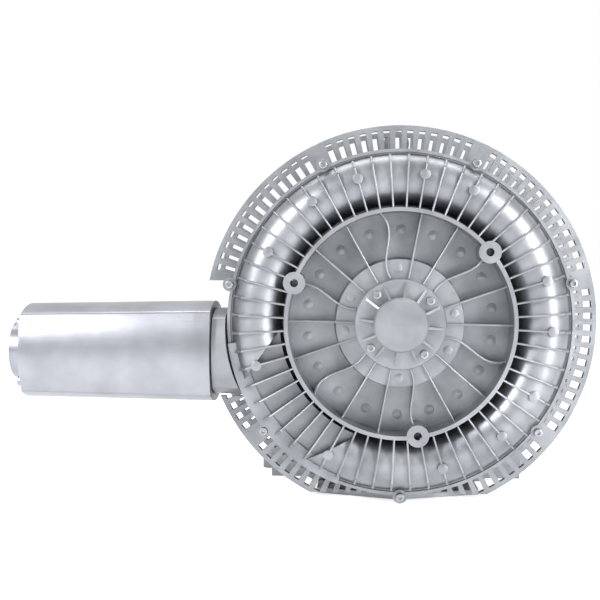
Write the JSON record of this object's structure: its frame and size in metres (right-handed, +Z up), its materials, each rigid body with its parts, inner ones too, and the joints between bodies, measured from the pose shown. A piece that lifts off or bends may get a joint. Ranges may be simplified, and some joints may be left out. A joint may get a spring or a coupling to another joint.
{
  "type": "side channel blower",
  "caption": "Two-stage side channel blower: finned round casings on a foot, flanged motor behind, and two box silencers with threaded ports at one side.",
  "frame": {"origin": "on the floor under the shaft, midway between the two rear foot holes", "axes": "+Z up, +Y along the shaft from the blower to the motor, +X away from the silencers"},
  "size_m": [0.787, 0.602, 0.496],
  "materials": {
    "cast_aluminium": "die cast, shot blasted",
    "silencer_aluminium": "extruded, satin",
    "box_aluminium": "grey enamel",
    "zinc_steel": "zinc plated",
    "core_steel": "laminated, oiled",
    "copper_winding": "enamelled copper wire",
    "gasket_rubber": "matt",
    "acoustic_foam": "open-cell foam",
    "black_plastic": "moulded"
  },
  "bodies": {
    "housing": {"bearing_cover": "cast_aluminium", "bearing_cover_screws": "zinc_steel", "cable_gland": "black_plastic", "drive_bearing_outer_race": "zinc_steel", "drive_side_seal": "gasket_rubber", "fan_cowl": "zinc_steel", "foot": "cast_aluminium", "foot_screws": "zinc_steel", "front_bearing_outer_race": "zinc_steel", "front_casing": "cast_aluminium", "front_cover": "cast_aluminium", "front_rim_screws": "zinc_steel", "front_silencer_body": "silencer_aluminium", "front_silencer_end_cap": "silencer_aluminium", "front_silencer_flange": "silencer_aluminium", "front_silencer_foam_liner": "acoustic_foam", "front_silencer_gasket": "gasket_rubber", "front_silencer_perforated_pipe": "zinc_steel", "front_silencer_screws": "zinc_steel", "interstage_seal": "gasket_rubber", "lifting_eye": "zinc_steel", "motor_flange": "cast_aluminium", "motor_flange_screws": "zinc_steel", "motor_frame": "cast_aluminium", "rear_casing": "cast_aluminium", "rear_cover": "cast_aluminium", "rear_rim_screws": "zinc_steel", "rear_silencer_body": "silencer_aluminium", "rear_silencer_end_cap": "silencer_aluminium", "rear_silencer_flange": "silencer_aluminium", "rear_silencer_foam_liner": "acoustic_foam", "rear_silencer_gasket": "gasket_rubber", "rear_silencer_perforated_pipe": "zinc_steel", "rear_silencer_screws": "zinc_steel", "stage_joint_screws": "zinc_steel", "stator_core": "core_steel", "stator_winding": "copper_winding", "tail_bearing_outer_race": "zinc_steel", "tail_shield": "cast_aluminium", "terminal_board": "black_plastic", "terminal_box": "box_aluminium", "terminal_box_gasket": "gasket_rubber", "terminal_box_lid": "box_aluminium"},
    "rotor": {"shaft": "zinc_steel", "lock_nut": "zinc_steel", "bearing_washer": "zinc_steel", "impeller_stage_1": "cast_aluminium", "impeller_stage_2": "cast_aluminium", "impeller_spacer": "zinc_steel", "drive_sleeve": "zinc_steel", "rotor_core": "core_steel", "cooling_fan": "black_plastic", "fan_circlip": "zinc_steel", "front_bearing_inner_race": "zinc_steel", "drive_bearing_inner_race": "zinc_steel", "tail_bearing_inner_race": "zinc_steel"},
    "front_cage": {"front_bearing_ball_cage": "zinc_steel"},
    "drive_cage": {"drive_bearing_ball_cage": "zinc_steel"},
    "tail_cage": {"tail_bearing_ball_cage": "zinc_steel"}
  },
  "joints": [
    {"name": "rotor_spin", "type": "hinge", "parent": "housing", "child": "rotor", "pos_m": [0, -0.15, 0.234], "axis": [0, -1, 0], "continuous": true},
    {"name": "front_cage_spin", "type": "hinge", "parent": "housing", "child": "front_cage", "pos_m": [0, -0.2815, 0.234], "axis": [0, -1, 0], "continuous": true},
    {"name": "drive_cage_spin", "type": "hinge", "parent": "housing", "child": "drive_cage", "pos_m": [0, -0.0775, 0.234], "axis": [0, -1, 0], "continuous": true},
    {"name": "tail_cage_spin", "type": "hinge", "parent": "housing", "child": "tail_cage", "pos_m": [0, 0.1885, 0.234], "axis": [0, -1, 0], "continuous": true}
  ],
  "couplings": [
    {"joint": "front_cage_spin", "follows": "rotor_spin", "ratio": 0.388},
    {"joint": "drive_cage_spin", "follows": "rotor_spin", "ratio": 0.385},
    {"joint": "tail_cage_spin", "follows": "rotor_spin", "ratio": 0.388}
  ]
}
